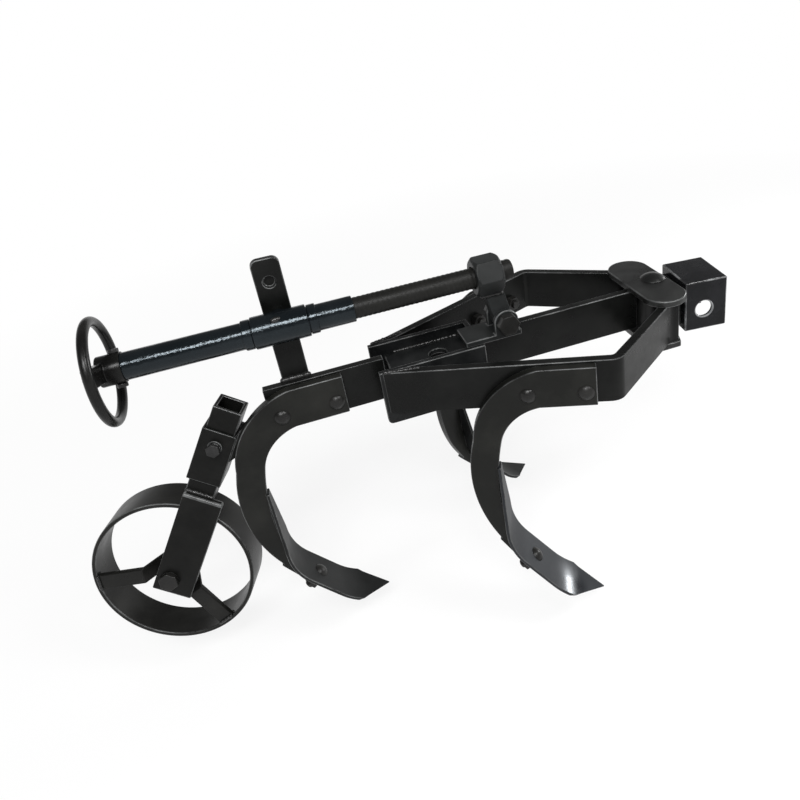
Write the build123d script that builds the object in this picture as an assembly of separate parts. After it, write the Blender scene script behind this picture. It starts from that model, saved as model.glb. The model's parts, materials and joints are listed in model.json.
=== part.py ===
from build123d import *
import math
import os

# Three-tine cultivator attachment for a walk-behind tiller, in millimetres.
# The sizes are laid out on the beam line: X runs forward along the beam, Y to
# the left and Z up, from the rear end of the welded box at the beam's top edge.
# Each piece is moved at the end, so that the origin is the hitch pin's centre.

# Flat bar that the frame is cut from
BAR_HEIGHT = 40.0
BAR_THICK = 8.0

# Fits and gaps
FIT_GAP = 0.05
SLIDE_GAP = 0.3
SIDE_GAP = 0.4

# Welded box between the arms
BOX_LENGTH = 92.0
BOX_HALF_WIDTH = 27.5
BOX_HEIGHT = 51.5
BOX_WALL = 5.0
CHEEK_CORNER = 4.0
CHEEK_BEHIND = 2.5
DECK_DROP = 11.0
DECK_START = 10.0
DECK_HOLE_RADIUS = 8.0
DECK_HOLE_FROM_FRONT = 37.0

# Arms: where the outer face bends, and where it ends beside the hitch
ARM_BEND_X = 179.0
ARM_BEND_Y = 102.5
ARM_FRONT_X = 262.0
ARM_FRONT_Y = 43.0
ARM_END_LENGTH = 9.0
ARM_BEND_RADIUS = 5.0

# Plates that hold the hitch knuckle: round corners on the top one, a bowed front on the lower one
PLATE_THICK = 6.0
PLATE_HALF_WIDTH = 50.0
PLATE_REAR_X = 243.0
PLATE_FRONT_X = 282.0
PLATE_CORNER = 19.0
BOTTOM_PLATE_HALF_WIDTH = 45.0
BOTTOM_PLATE_BOW = 10.0
BEAM_UNDER_PLATE = 8.0

# Hitch: knuckle on an upright bolt, with the drawbar channel that is open in front and below
SWING_X = 270.0
SWING_REST = -7.5
SWING_BOLT_RADIUS = 8.0
SWING_NUT_FLATS = 24.0
SWING_HEAD_RADIUS = 12.0
SWING_HEAD_HEIGHT = 5.0
SWING_NUT_HEIGHT = 13.0
KNUCKLE_RADIUS = 17.5
KNUCKLE_WALL_GAP = 0.4
HITCH_SIZE = 50.0
HITCH_WALL = 4.0
HITCH_TOP_DROP = 0.0
HITCH_REAR = 21.0
HITCH_LENGTH = 40.5
HITCH_PIN_RADIUS = 8.0
HITCH_PIN_FROM_FRONT = 22.0
HITCH_PIN_DROP = 4.0

# Rear beam and the pin that it tilts on
REAR_BEAM_LENGTH = 98.0
REAR_BEAM_ENTRY = 6.0
TILT_X = 22.0
TILT_DROP = 30.0
TILT_PIN_RADIUS = 6.0
TILT_EYE_RADIUS = 12.0
TILT_SPACER_RADIUS = 10.0

# Tine, in its own plane: along the bar from its front end, and down from the bar's top
TINE_THICK = 8.0
TINE_WIDTH = 36.0
TINE_BELOW_BAR_TOP = 1.5
TINE_STRAIGHT = 47.0
TINE_BACK_REACH = 112.0
TINE_BACK_DEPTH = 112.0
TINE_SHOULDER_FROM_BACK = 24.0
TINE_SHOULDER_DEPTH = 26.0
TINE_NECK_FROM_BACK = 6.0
TINE_NECK_ABOVE_BACK = 44.0
TINE_NECK_SLANT = 4.0
TINE_SHOULDER_WIDTH = 21.0
TINE_FOOT_FROM_BACK = 32.0
TINE_FOOT_BELOW_BACK = 74.0
TINE_WAIST = 24.0
TINE_FOOT_WIDTH = 9.0
TINE_BOLT_FROM_END = 9.0
TINE_BOLT_SPACING = 47.0
TINE_BOLT_DROP = 25.0
TINE_TO_BEND = 19.5
REAR_TINE_END_X = -32.0

# Pointed shovel bolted to the tine's foot
SHOVEL_WIDTH = 40.0
SHOVEL_THICK = 3.0
SHOVEL_TOP_ABOVE_BACK = 14.0
SHOVEL_TOP_WIDTH = 9.0
SHOVEL_TAPER = 58.0
SHOVEL_TIP_AHEAD = 77.0
SHOVEL_TIP_BELOW = 66.0
SHOVEL_TIP_LENGTH = 36.0
SHOVEL_BEND_BEHIND = 5.0
SHOVEL_BEND_ABOVE = 4.0
SHOVEL_BEND_RADIUS = 60.0
SHOVEL_TIP_DROP = 13.5
SHOVEL_TIP_FLAT = 1.5
SHOVEL_BOLT_SHARE = 0.45
FOOT_PAD_WIDTH = 18.0
FOOT_PAD_THICK = 7.0
FOOT_PAD_BELOW_BOLT = 11.0
FOOT_PAD_ABOVE_BOLT = 9.0
FOOT_PAD_ABOVE_BEND = 6.0

# Cup-head bolts and their nuts
BOLT_RADIUS = 4.0
BOLT_HEAD_RADIUS = 7.0
BOLT_HEAD_HEIGHT = 3.8
BOLT_NUT_FLATS = 13.0
BOLT_NUT_HEIGHT = 6.5
BOLT_END_LENGTH = 3.0

# Upright and screw line
UPRIGHT_X = -69.0
UPRIGHT_WIDTH = 23.0
UPRIGHT_THICK = 6.0
UPRIGHT_ABOVE = 110.0
UPRIGHT_BELOW = 11.0
UPRIGHT_CORNER = 6.0
SPARE_HOLE_ABOVE = 90.0
SPARE_HOLE_DEPTH = 4.0
TRUNNION_RADIUS = 5.0
TRUNNION_NUT_FLATS = 17.0
TRUNNION_NUT_HEIGHT = 8.0
SCREW_ABOVE = 57.5

# Collar, pipe and threaded rod
COLLAR_RADIUS = 13.2
COLLAR_LENGTH = 44.0
COLLAR_BOSS_RADIUS = 9.0
COLLAR_TO_UPRIGHT = 3.2
PIPE_RADIUS = 10.9
PIPE_REAR_X = -197.0
PIPE_FRONT_X = -10.0
ROD_RADIUS = 9.0
ROD_IN_PIPE = 45.0
ROD_FRONT_X = 127.0
STOP_RING_RADIUS = 12.2
STOP_RING_LENGTH = 7.0
STOP_RING_GAP = 0.4

# Handwheel
HAND_RADIUS = 39.0
HAND_RIM_RADIUS = 3.9
HAND_TURN = -20.0
HAND_SPOKE_WIDTH = 15.0
HAND_SPOKE_THICK = 6.0
HAND_HUB_RADIUS = 12.0
HAND_HUB_LENGTH = 18.0
HAND_HUB_OVER_PIPE = 9.0
HAND_PIN_RADIUS = 3.0
HAND_PIN_HEAD_RADIUS = 4.0
HAND_PIN_HEAD = 3.0
HAND_PIN_FROM_END = 4.5

# Travelling nut, its lug and the clevis that the lug tilts in
SCREW_NUT_X = 104.5
SCREW_NUT_FLATS = 31.0
SCREW_NUT_LENGTH = 24.0
SCREW_NUT_GAP = 0.5
SCREW_NUT_CHAMFER = 3.2
LUG_X = 114.0
LUG_PIVOT_ABOVE = 15.0
LUG_WIDTH = 17.0
LUG_THICK = 14.0
LUG_EYE_RADIUS = 9.0
LUG_NUT_FLATS = 17.0
LUG_NUT_HEIGHT = 8.0
LUG_BOLT_RADIUS = 5.0
CLEVIS_BASE_REAR_X = 76.0
CLEVIS_BASE_FRONT_X = 127.0
CLEVIS_BASE_THICK = 5.0
CLEVIS_EAR_THICK = 5.0
CLEVIS_EAR_WIDTH = 22.0

# Gauge wheel column: it leans back, and stands turned about its own axis
HUB_BEHIND_TINE = 74.5
HUB_Y = 15.0
HUB_DROP = 166.5
COLUMN_LEAN = 31.0
COLUMN_TURN = -16.0
SLEEVE_SIZE = 30.0
SLEEVE_WALL = 2.2
SLEEVE_ABOVE_POST_START = 30.0
SLEEVE_LENGTH = 52.0
POST_WHEEL_GAP = 1.0
POST_ABOVE_SLEEVE = 21.0
POST_WALL = 3.0
SIDE_ARM_WIDTH = 35.0
SIDE_ARM_SHIFT = 5.0
SIDE_ARM_THICK = 7.0
SIDE_ARM_ON_POST = 17.0
SIDE_ARM_FOOT = 15.0
CLAMP_BOLT_RADIUS = 4.0
CLAMP_BOLT_FLATS = 11.0
CLAMP_HEAD_HEIGHT = 4.0
CLAMP_BOSS_HEIGHT = 3.0
CLAMP_FROM_TOP = 15.0
GUSSET_TOP_DROP = 16.0
GUSSET_SLEEVE_TOP = 12.0
GUSSET_SLEEVE_BOTTOM = 40.0

# Gauge wheel
WHEEL_RADIUS = 73.0
WHEEL_WIDTH = 34.0
WHEEL_BAND = 4.0
WHEEL_ARM_GAP = 2.5
SPOKE_WIDTH = 15.0
SPOKE_THICK = 5.0
SPOKE_COUNT = 3
SPOKE_FIRST_ANGLE = 90.0
SPOKE_INNER_BEND = 0.18
SPOKE_OUTER_BEND = 0.38
SPOKE_HUB_Y = 16.0
SPOKE_RIM_Y = -5.0
WHEEL_HUB_RADIUS = 12.0
WHEEL_HUB_LENGTH = 30.0
AXLE_RADIUS = 6.0
AXLE_HEAD_FLATS = 16.0
AXLE_HEAD_HEIGHT = 5.0
AXLE_END_LENGTH = 4.0

# Places that several pieces share
BAR_HALF = BAR_THICK / 2
PLATE_TOP = PLATE_THICK
TILT_Z = -TILT_DROP
LUG_Z = LUG_PIVOT_ABOVE
POST_START = WHEEL_RADIUS + POST_WHEEL_GAP
SLEEVE_START = POST_START + SLEEVE_ABOVE_POST_START
SLEEVE_END = SLEEVE_START + SLEEVE_LENGTH
POST_END = SLEEVE_END + POST_ABOVE_SLEEVE
SIDE_ARM_TOP = POST_START + SIDE_ARM_ON_POST
HAND_X = PIPE_REAR_X + HAND_HUB_OVER_PIPE - HAND_HUB_LENGTH + HAND_SPOKE_THICK / 2
UPRIGHT_NEAR_Y = BAR_HALF
UPRIGHT_FAR_Y = BAR_HALF + UPRIGHT_THICK
SCREW_Y = UPRIGHT_NEAR_Y - COLLAR_TO_UPRIGHT - COLLAR_RADIUS
POST_SIZE = SLEEVE_SIZE - 2 * SLEEVE_WALL - 2 * SLIDE_GAP
ARM_YAW = math.degrees(math.atan2(ARM_BEND_Y - BOX_HALF_WIDTH, ARM_BEND_X))
HITCH_Z = PLATE_TOP - HITCH_TOP_DROP - HITCH_SIZE / 2
SWING = Pos(SWING_X, 0, 0) * Rot(0, 0, SWING_REST)
HITCH_FRONT = HITCH_REAR + HITCH_LENGTH
HITCH_PIN = SWING * Pos(HITCH_FRONT - HITCH_PIN_FROM_FRONT, 0, HITCH_Z - HITCH_PIN_DROP)
HUB_X = REAR_TINE_END_X - TINE_BACK_REACH - HUB_BEHIND_TINE
COLUMN = Pos(HUB_X, HUB_Y, -HUB_DROP) * Rot(0, COLUMN_LEAN, 0) * Rot(0, 0, COLUMN_TURN)
TINE_FOOT_REACH = TINE_BACK_REACH - TINE_FOOT_FROM_BACK
TINE_FOOT_DEPTH = TINE_BACK_DEPTH + TINE_FOOT_BELOW_BACK
SHOVEL_TOP_DEPTH = TINE_BACK_DEPTH - SHOVEL_TOP_ABOVE_BACK
SHOVEL_TIP_REACH = TINE_FOOT_REACH - SHOVEL_TIP_AHEAD
SHOVEL_TIP_DEPTH = TINE_FOOT_DEPTH + SHOVEL_TIP_BELOW
REAR_TINE = Pos(REAR_TINE_END_X, -BAR_HALF, 0)
ARM_LENGTH = math.hypot(ARM_BEND_X, ARM_BEND_Y - BOX_HALF_WIDTH)
RIGHT_TINE = Pos(0, -BOX_HALF_WIDTH, 0) * Rot(0, 0, -ARM_YAW) * Pos(ARM_LENGTH - TINE_TO_BEND, 0, 0)


def plate_xz(outline, y_low, y_high):
    """An outline drawn in X and Z, as a plate between two values of Y."""
    face_plane = Plane(origin=(0, y_high, 0), x_dir=(1, 0, 0), z_dir=(0, -1, 0))
    return extrude(face_plane * outline, y_high - y_low)


def plate_xy(outline, z_low, z_high):
    """An outline drawn in X and Y, as a plate between two values of Z."""
    return extrude(Plane.XY.offset(z_low) * outline, z_high - z_low)


def block(x_low, x_high, y_low, y_high, z_low, z_high):
    """A box between two corners."""
    size = (x_high - x_low, y_high - y_low, z_high - z_low)
    centre = ((x_high + x_low) / 2, (y_high + y_low) / 2, (z_high + z_low) / 2)
    return Pos(*centre) * Box(*size)


def rod_x(radius, x_low, x_high, y, z):
    """A round bar along X."""
    return Pos((x_low + x_high) / 2, y, z) * Rot(0, 90, 0) * Cylinder(radius, x_high - x_low)


def rod_y(radius, y_low, y_high, x, z):
    """A round bar along Y."""
    return Pos(x, (y_low + y_high) / 2, z) * Rot(90, 0, 0) * Cylinder(radius, y_high - y_low)


def rod_z(radius, z_low, z_high, x, y):
    """A round bar along Z."""
    return Pos(x, y, (z_low + z_high) / 2) * Cylinder(radius, z_high - z_low)


def hexagon_y(flats, y_low, y_high, x, z):
    """A six-sided head or nut along Y."""
    hexagon = RegularPolygon(flats / 2, 6, major_radius=False)
    return plate_xz(Pos(x, z) * hexagon, y_low, y_high)


def hexagon_z(flats, z_low, z_high, x, y):
    """A six-sided head or nut along Z."""
    hexagon = RegularPolygon(flats / 2, 6, major_radius=False)
    return plate_xy(Pos(x, y) * hexagon, z_low, z_high)


def dome(radius, height):
    """A low round head on the plane at zero."""
    ball_radius = (radius ** 2 + height ** 2) / (2 * height)
    return Pos(0, 0, height - ball_radius) * Sphere(ball_radius) & rod_z(radius, 0, height, 0, 0)


def mirrored(shape):
    """The left-hand copy of a right-hand piece."""
    return mirror(shape, about=Plane.XZ)


# Front beam and box

def front_beam():
    front_x = PLATE_REAR_X + BEAM_UNDER_PLATE
    return block(BOX_LENGTH, front_x, -BAR_HALF, BAR_HALF, -BAR_HEIGHT, 0)


def right_cheek():
    outline = Pos((BOX_LENGTH - CHEEK_BEHIND) / 2, -BOX_HEIGHT / 2)
    outline = outline * Rectangle(BOX_LENGTH + CHEEK_BEHIND, BOX_HEIGHT)
    low_rear = outline.vertices().group_by(Axis.Y)[0].sort_by(Axis.X)[0]
    wall = plate_xz(fillet(low_rear, CHEEK_CORNER), -BOX_HALF_WIDTH, BOX_WALL - BOX_HALF_WIDTH)
    return wall - rod_y(TILT_PIN_RADIUS + FIT_GAP, -BOX_HALF_WIDTH, 0, TILT_X, TILT_Z)


def box_inside(x_low, x_high, z_low, z_high):
    half = BOX_HALF_WIDTH - BOX_WALL
    return block(x_low, x_high, -half, half, z_low, z_high)


def deck_plate():
    front_x = BOX_LENGTH - BOX_WALL
    plate = box_inside(DECK_START, front_x, -DECK_DROP - BOX_WALL, -DECK_DROP)
    hole_x = BOX_LENGTH - DECK_HOLE_FROM_FRONT
    return plate - rod_z(DECK_HOLE_RADIUS, -BOX_HEIGHT, 0, hole_x, 0)


def box_front_plate():
    return box_inside(BOX_LENGTH - BOX_WALL, BOX_LENGTH, -BOX_HEIGHT, 0)


# Arms

def right_arm():
    corners = [(0, -BOX_HALF_WIDTH), (ARM_BEND_X, -ARM_BEND_Y), (ARM_FRONT_X, -ARM_FRONT_Y),
               (ARM_FRONT_X + ARM_END_LENGTH, -ARM_FRONT_Y)]
    outer_face = FilletPolyline(*corners, radius=ARM_BEND_RADIUS + BAR_THICK)
    strip = make_face(offset(outer_face, BAR_THICK, side=Side.LEFT))
    inside_box = block(-BOX_LENGTH, ARM_BEND_X, -BOX_HALF_WIDTH, BOX_HALF_WIDTH, -BOX_HEIGHT, BAR_HEIGHT)
    arm = plate_xy(strip, -BAR_HEIGHT, 0) - inside_box
    for along in tine_bolt_places():
        arm -= RIGHT_TINE * rod_y(BOLT_RADIUS + FIT_GAP, -BAR_THICK, 2 * BAR_THICK, along, -TINE_BOLT_DROP)
    return arm


# Hitch

def hitch_plate(outline, z_low):
    plate = plate_xy(outline, z_low, z_low + PLATE_THICK)
    return plate - rod_z(SWING_BOLT_RADIUS + FIT_GAP, z_low, z_low + PLATE_THICK, SWING_X, 0)


def hitch_top_plate():
    length = PLATE_FRONT_X - PLATE_REAR_X
    outline = Pos(PLATE_REAR_X + length / 2, 0) * Rectangle(length, 2 * PLATE_HALF_WIDTH)
    return hitch_plate(fillet(outline.vertices(), PLATE_CORNER), 0)


def hitch_bottom_plate():
    right_rear = (PLATE_REAR_X, -BOTTOM_PLATE_HALF_WIDTH)
    right_front = (PLATE_FRONT_X - BOTTOM_PLATE_BOW, -BOTTOM_PLATE_HALF_WIDTH)
    left_front = (PLATE_FRONT_X - BOTTOM_PLATE_BOW, BOTTOM_PLATE_HALF_WIDTH)
    left_rear = (PLATE_REAR_X, BOTTOM_PLATE_HALF_WIDTH)
    outline = make_face([
        Line(left_rear, right_rear),
        Line(right_rear, right_front),
        ThreePointArc(right_front, (PLATE_FRONT_X, 0), left_front),
        Line(left_front, left_rear),
    ])
    return hitch_plate(outline, -BAR_HEIGHT - PLATE_THICK)


def swing_bolt():
    bottom = -BAR_HEIGHT - PLATE_THICK
    shank = rod_z(SWING_BOLT_RADIUS, bottom - BOLT_END_LENGTH - SWING_NUT_HEIGHT, PLATE_TOP, SWING_X, 0)
    return shank + Pos(SWING_X, 0, PLATE_TOP) * dome(SWING_HEAD_RADIUS, SWING_HEAD_HEIGHT)


def swing_nut():
    top = -BAR_HEIGHT - PLATE_THICK
    nut = hexagon_z(SWING_NUT_FLATS, top - SWING_NUT_HEIGHT, top, SWING_X, 0)
    return nut - rod_z(SWING_BOLT_RADIUS + FIT_GAP, top - SWING_NUT_HEIGHT, top, SWING_X, 0)


def hitch_knuckle():
    low = KNUCKLE_WALL_GAP - BAR_HEIGHT
    high = -KNUCKLE_WALL_GAP
    barrel = rod_z(KNUCKLE_RADIUS, low, high, 0, 0)
    neck = block(0, HITCH_REAR, -KNUCKLE_RADIUS, KNUCKLE_RADIUS, low, high)
    bore = rod_z(SWING_BOLT_RADIUS + FIT_GAP, low, high, 0, 0)
    return SWING * (barrel + neck - bore)


def hitch_channel():
    half = HITCH_SIZE / 2
    inner = half - HITCH_WALL
    outside = block(HITCH_REAR, HITCH_FRONT, -half, half, HITCH_Z - half, HITCH_Z + half)
    hollow = block(HITCH_REAR + HITCH_WALL, HITCH_FRONT, -inner, inner, HITCH_Z - half, HITCH_Z + inner)
    pin_x = HITCH_FRONT - HITCH_PIN_FROM_FRONT
    pin_hole = rod_y(HITCH_PIN_RADIUS, -half, half, pin_x, HITCH_Z - HITCH_PIN_DROP)
    return SWING * (outside - hollow - pin_hole)


# Rear beam

def rear_beam():
    tongue_top = TILT_Z + TILT_EYE_RADIUS
    corners = [(-REAR_BEAM_LENGTH, 0), (REAR_BEAM_ENTRY, 0), (REAR_BEAM_ENTRY, tongue_top),
               (TILT_X, tongue_top), (TILT_X, -BAR_HEIGHT), (-REAR_BEAM_LENGTH, -BAR_HEIGHT)]
    bar = plate_xz(make_face(Polyline(*corners, close=True)), -BAR_HALF, BAR_HALF)
    bar += rod_y(TILT_EYE_RADIUS, -BAR_HALF, BAR_HALF, TILT_X, TILT_Z)
    bar -= rod_y(TILT_PIN_RADIUS + FIT_GAP, -BAR_THICK, BAR_THICK, TILT_X, TILT_Z)
    for along in tine_bolt_places():
        bar -= rod_y(BOLT_RADIUS + FIT_GAP, -BAR_THICK, BAR_THICK, REAR_TINE_END_X + along,
                     -TINE_BOLT_DROP)
    return bar


def tilt_pin():
    return rod_y(TILT_PIN_RADIUS, -BOX_HALF_WIDTH, BOX_HALF_WIDTH, TILT_X, TILT_Z)


def tilt_spacers():
    low = BAR_HALF + SIDE_GAP
    high = BOX_HALF_WIDTH - BOX_WALL
    spacer = rod_y(TILT_SPACER_RADIUS, low, high, TILT_X, TILT_Z)
    spacer -= rod_y(TILT_PIN_RADIUS + FIT_GAP, low, high, TILT_X, TILT_Z)
    return Compound([spacer, mirrored(spacer)])


# Tines and shovels, each in the tine's own frame

def tine_bolt_places():
    return (-TINE_BOLT_FROM_END, -TINE_BOLT_FROM_END - TINE_BOLT_SPACING)


def shovel_bend():
    return Vector(-TINE_FOOT_REACH - SHOVEL_BEND_BEHIND, SHOVEL_BEND_ABOVE - TINE_FOOT_DEPTH)


def shovel_shoulder():
    return Vector(-SHOVEL_TIP_REACH - SHOVEL_TIP_LENGTH, SHOVEL_TIP_DROP - SHOVEL_TIP_DEPTH)


def at_shovel_bolt():
    """A frame on the shovel's back at its bolt: X down the shovel, Z out of its front."""
    slant = shovel_shoulder() - shovel_bend()
    place = shovel_bend() + slant * SHOVEL_BOLT_SHARE
    slope = math.degrees(math.atan2(-slant.Y, slant.X))
    return Pos(place.X, -TINE_THICK / 2, place.Y) * Rot(0, slope, 0)


def shovel_blank():
    """The bent strip at full width, with its back on the tine's foot."""
    start = (TINE_WAIST - TINE_BACK_REACH, -SHOVEL_TOP_DEPTH)
    bend = shovel_bend()
    shoulder = shovel_shoulder()
    tip = (-SHOVEL_TIP_REACH, -SHOVEL_TIP_DEPTH)
    back = FilletPolyline(start, (bend.X, bend.Y), (shoulder.X, shoulder.Y), tip, radius=SHOVEL_BEND_RADIUS)
    strip = make_face(offset(back, SHOVEL_THICK, side=Side.LEFT))
    middle = -TINE_THICK / 2
    return plate_xz(strip, middle - SHOVEL_WIDTH / 2, middle + SHOVEL_WIDTH / 2)


def shovel():
    wide = SHOVEL_WIDTH / 2
    top = SHOVEL_THICK - SHOVEL_TOP_DEPTH
    taper = -SHOVEL_TOP_DEPTH - SHOVEL_TAPER
    point_rise = SHOVEL_THICK * SHOVEL_TIP_LENGTH / math.hypot(SHOVEL_TIP_LENGTH, SHOVEL_TIP_DROP)
    bottom = point_rise - SHOVEL_TIP_DEPTH
    right_side = [(SHOVEL_TIP_FLAT / 2, bottom), (wide, shovel_shoulder().Y), (wide, taper),
                  (SHOVEL_TOP_WIDTH / 2, top)]
    left_side = [(-y, z) for y, z in reversed(right_side)]
    outline = make_face(Polyline(*right_side, *left_side, close=True))
    facing = Plane(origin=(-TINE_BACK_REACH, -TINE_THICK / 2, 0), x_dir=(0, 1, 0), z_dir=(1, 0, 0))
    blade = shovel_blank() & extrude(facing * outline, 2 * TINE_BACK_REACH)
    return blade - at_shovel_bolt() * rod_z(BOLT_RADIUS + FIT_GAP, -SHOVEL_WIDTH, SHOVEL_WIDTH, 0, 0)


def foot_pad():
    """The forged end of the tine, which widens across the shovel's back."""
    up = (shovel_shoulder() - shovel_bend()).length * SHOVEL_BOLT_SHARE + FOOT_PAD_ABOVE_BEND
    half = FOOT_PAD_WIDTH / 2
    right_side = [(-up, -TINE_THICK / 2), (-FOOT_PAD_ABOVE_BOLT, -half), (FOOT_PAD_BELOW_BOLT, -half)]
    left_side = [(along, -y) for along, y in reversed(right_side)]
    pad = plate_xy(make_face(Polyline(*right_side, *left_side, close=True)), -FOOT_PAD_THICK, SHOVEL_THICK)
    return at_shovel_bolt() * (pad - rod_z(BOLT_RADIUS + FIT_GAP, -SHOVEL_WIDTH, SHOVEL_WIDTH, 0, 0))


def tine():
    top = -TINE_BELOW_BAR_TOP
    bottom = top - TINE_WIDTH
    back = Vector(-TINE_BACK_REACH, -TINE_BACK_DEPTH)
    shoulder = Vector(back.X + TINE_SHOULDER_FROM_BACK, -TINE_SHOULDER_DEPTH)
    neck = back + Vector(TINE_NECK_FROM_BACK, TINE_NECK_ABOVE_BACK)
    foot = Vector(-TINE_FOOT_REACH - TINE_FOOT_WIDTH, -TINE_FOOT_DEPTH)
    inner_foot = Vector(-TINE_FOOT_REACH, -TINE_FOOT_DEPTH)
    inner_back = back + Vector(TINE_WAIST, 0)
    inner_neck = neck + Vector(TINE_WAIST, -TINE_NECK_SLANT)
    inner_shoulder = shoulder + Vector(TINE_SHOULDER_WIDTH, -TINE_SHOULDER_WIDTH)
    outline = make_face([
        Line((0, bottom), (0, top)),
        Line((0, top), (-TINE_STRAIGHT, top)),
        ThreePointArc((-TINE_STRAIGHT, top), shoulder, neck),
        ThreePointArc(neck, back, foot),
        Line(foot, inner_foot),
        ThreePointArc(inner_foot, inner_back, inner_neck),
        ThreePointArc(inner_neck, inner_shoulder, (-TINE_STRAIGHT, bottom)),
        Line((-TINE_STRAIGHT, bottom), (0, bottom)),
    ])
    bar = plate_xz(outline, -TINE_THICK, 0) + foot_pad() - shovel_blank()
    for along in tine_bolt_places():
        bar -= rod_y(BOLT_RADIUS + FIT_GAP, -2 * TINE_THICK, TINE_THICK, along, -TINE_BOLT_DROP)
    return bar


# Cup-head bolts with nuts, along Z with the head's seat at zero

def cup_bolt(grip):
    shank = rod_z(BOLT_RADIUS, -grip - BOLT_NUT_HEIGHT - BOLT_END_LENGTH, 0, 0, 0)
    return shank + dome(BOLT_HEAD_RADIUS, BOLT_HEAD_HEIGHT)


def cup_bolt_nut(grip):
    nut = hexagon_z(BOLT_NUT_FLATS, -grip - BOLT_NUT_HEIGHT, -grip, 0, 0)
    return nut - rod_z(BOLT_RADIUS + FIT_GAP, -grip - BOLT_NUT_HEIGHT, -grip, 0, 0)


def tine_fasteners(fastener):
    """The two bolts or nuts of one tine: they go from its outer face through the bar."""
    piece = Rot(90, 0, 0) * fastener(TINE_THICK + BAR_THICK)
    return [Pos(along, -TINE_THICK, -TINE_BOLT_DROP) * piece for along in tine_bolt_places()]


def shovel_fastener(fastener):
    return at_shovel_bolt() * Pos(0, 0, SHOVEL_THICK) * fastener(SHOVEL_THICK + FOOT_PAD_THICK)


def both_sides(pieces):
    """The pieces on the right tine together with their left-hand copies."""
    right = [RIGHT_TINE * piece for piece in pieces]
    return Compound(right + [mirrored(piece) for piece in right])


# Upright and collar

def upright():
    middle = (UPRIGHT_ABOVE - UPRIGHT_BELOW) / 2
    outline = Pos(UPRIGHT_X, middle) * Rectangle(UPRIGHT_WIDTH, UPRIGHT_ABOVE + UPRIGHT_BELOW)
    outline = fillet(outline.vertices().group_by(Axis.Y)[-1], UPRIGHT_CORNER)
    bar = plate_xz(outline, UPRIGHT_NEAR_Y, UPRIGHT_FAR_Y)
    bar -= rod_y(TRUNNION_RADIUS + FIT_GAP, UPRIGHT_NEAR_Y, UPRIGHT_FAR_Y, UPRIGHT_X, SCREW_ABOVE)
    hole_end = UPRIGHT_NEAR_Y + SPARE_HOLE_DEPTH
    return bar - rod_y(TRUNNION_RADIUS, UPRIGHT_NEAR_Y, hole_end, UPRIGHT_X, SPARE_HOLE_ABOVE)


def collar_ends():
    return UPRIGHT_X - COLLAR_LENGTH / 2, UPRIGHT_X + COLLAR_LENGTH / 2


def collar():
    rear, front = collar_ends()
    stud_end = UPRIGHT_FAR_Y + SIDE_GAP + TRUNNION_NUT_HEIGHT + BOLT_END_LENGTH
    tube = rod_x(COLLAR_RADIUS, rear, front, SCREW_Y, SCREW_ABOVE)
    tube += rod_y(COLLAR_BOSS_RADIUS, SCREW_Y, UPRIGHT_NEAR_Y - SIDE_GAP, UPRIGHT_X, SCREW_ABOVE)
    tube += rod_y(TRUNNION_RADIUS, SCREW_Y, stud_end, UPRIGHT_X, SCREW_ABOVE)
    return tube - rod_x(PIPE_RADIUS + FIT_GAP, rear, front, SCREW_Y, SCREW_ABOVE)


def trunnion_nut():
    low = UPRIGHT_FAR_Y + SIDE_GAP
    nut = hexagon_y(TRUNNION_NUT_FLATS, low, low + TRUNNION_NUT_HEIGHT, UPRIGHT_X, SCREW_ABOVE)
    return nut - rod_y(TRUNNION_RADIUS + FIT_GAP, low, low + TRUNNION_NUT_HEIGHT, UPRIGHT_X, SCREW_ABOVE)


# Screw and handwheel

def screw_bar(radius, x_low, x_high):
    return rod_x(radius, x_low, x_high, SCREW_Y, SCREW_ABOVE)


def hand_pin_x():
    return PIPE_REAR_X + HAND_PIN_FROM_END


def hand_turned(shape):
    """A shape on the handwheel, turned with it about the screw's axis."""
    return Pos(0, SCREW_Y, SCREW_ABOVE) * Rot(HAND_TURN, 0, 0) * Pos(0, -SCREW_Y, -SCREW_ABOVE) * shape


def hand_pin_hole():
    low = SCREW_ABOVE - HAND_HUB_RADIUS
    high = SCREW_ABOVE + HAND_HUB_RADIUS
    return hand_turned(rod_z(HAND_PIN_RADIUS + FIT_GAP, low, high, hand_pin_x(), SCREW_Y))


def screw_pipe():
    pipe = screw_bar(PIPE_RADIUS, PIPE_REAR_X, PIPE_FRONT_X)
    return pipe - screw_bar(ROD_RADIUS + FIT_GAP, PIPE_REAR_X, PIPE_FRONT_X) - hand_pin_hole()


def threaded_rod():
    return screw_bar(ROD_RADIUS, PIPE_FRONT_X - ROD_IN_PIPE, ROD_FRONT_X)


def stop_rings():
    rear, front = collar_ends()
    places = (rear - STOP_RING_GAP - STOP_RING_LENGTH, front + STOP_RING_GAP)
    rings = []
    for start in places:
        ring = screw_bar(STOP_RING_RADIUS, start, start + STOP_RING_LENGTH)
        rings.append(ring - screw_bar(PIPE_RADIUS + FIT_GAP, start, start + STOP_RING_LENGTH))
    return Compound(rings)


def handwheel_rim():
    return Pos(HAND_X, SCREW_Y, SCREW_ABOVE) * Rot(0, 90, 0) * Torus(HAND_RADIUS, HAND_RIM_RADIUS)


def handwheel_spokes():
    front = PIPE_REAR_X + HAND_HUB_OVER_PIPE
    half_thick = HAND_SPOKE_THICK / 2
    half_width = HAND_SPOKE_WIDTH / 2
    bar = block(HAND_X - half_thick, HAND_X + half_thick, SCREW_Y - HAND_RADIUS, SCREW_Y + HAND_RADIUS,
                SCREW_ABOVE - half_width, SCREW_ABOVE + half_width)
    hub = screw_bar(HAND_HUB_RADIUS, front - HAND_HUB_LENGTH, front)
    socket = screw_bar(PIPE_RADIUS + FIT_GAP, PIPE_REAR_X, front)
    return hand_turned(bar) + hub - socket - handwheel_rim() - hand_pin_hole()


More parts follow.
